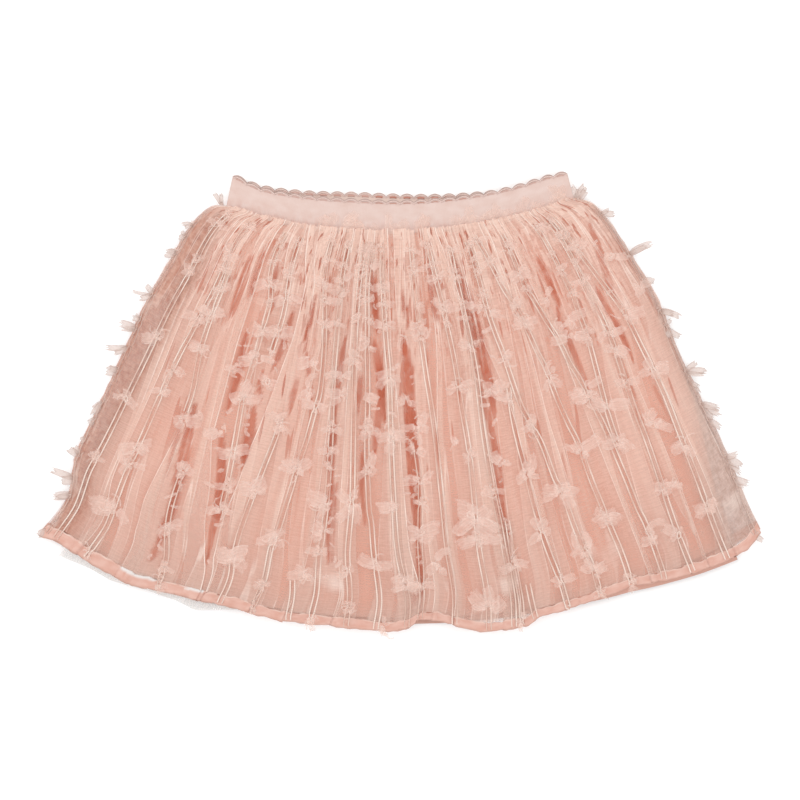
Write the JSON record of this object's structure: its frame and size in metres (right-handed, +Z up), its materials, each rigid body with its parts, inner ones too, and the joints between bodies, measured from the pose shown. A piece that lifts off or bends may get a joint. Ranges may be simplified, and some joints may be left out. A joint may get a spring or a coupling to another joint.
{
  "type": "tulle skirt",
  "caption": "Child's gathered tulle skirt laid flat, with a scalloped elastic waistband, a lining, and small tulle bows tied along thread stripes.",
  "frame": {"origin": "middle of the floor that the skirt covers, on its underside", "axes": "+Z up out of the front of the skirt, +Y from the hem to the waist, +X to the right as seen from above"},
  "size_m": [0.5436, 0.3466, 0.0221],
  "materials": {
    "elastic": "soft matt knitted elastic, ivory pink",
    "tulle": "sheer fine tulle, blush pink",
    "hem": "tulle folded into a close hem, peach pink",
    "lining": "smooth opaque lining, coral",
    "net": "stiff off-white net",
    "threads": "cream threads and sheer tulle strips"
  },
  "bodies": {
    "root": {"waistband_front": "elastic", "waistband_back": "elastic", "tulle_front": "tulle", "tulle_back": "tulle", "hem_front": "hem", "hem_back": "hem", "lining_front": "lining", "lining_back": "lining", "petticoat_net": "net", "bow_stripe_01": "threads", "bow_stripe_02": "threads", "bow_stripe_03": "threads", "bow_stripe_04": "threads", "bow_stripe_05": "threads", "bow_stripe_06": "threads", "bow_stripe_07": "threads", "bow_stripe_08": "threads", "bow_stripe_09": "threads", "bow_stripe_10": "threads", "bow_stripe_11": "threads", "bow_stripe_12": "threads", "bow_stripe_13": "threads", "bow_stripe_14": "threads", "bow_stripe_15": "threads", "bow_stripe_16": "threads", "bow_stripe_17": "threads", "bow_stripe_18": "threads", "bow_stripe_19": "threads", "bow_stripe_20": "threads", "bow_stripe_21": "threads", "bow_stripe_side_left": "threads", "bow_stripe_side_right": "threads"}
  },
  "joints": []
}
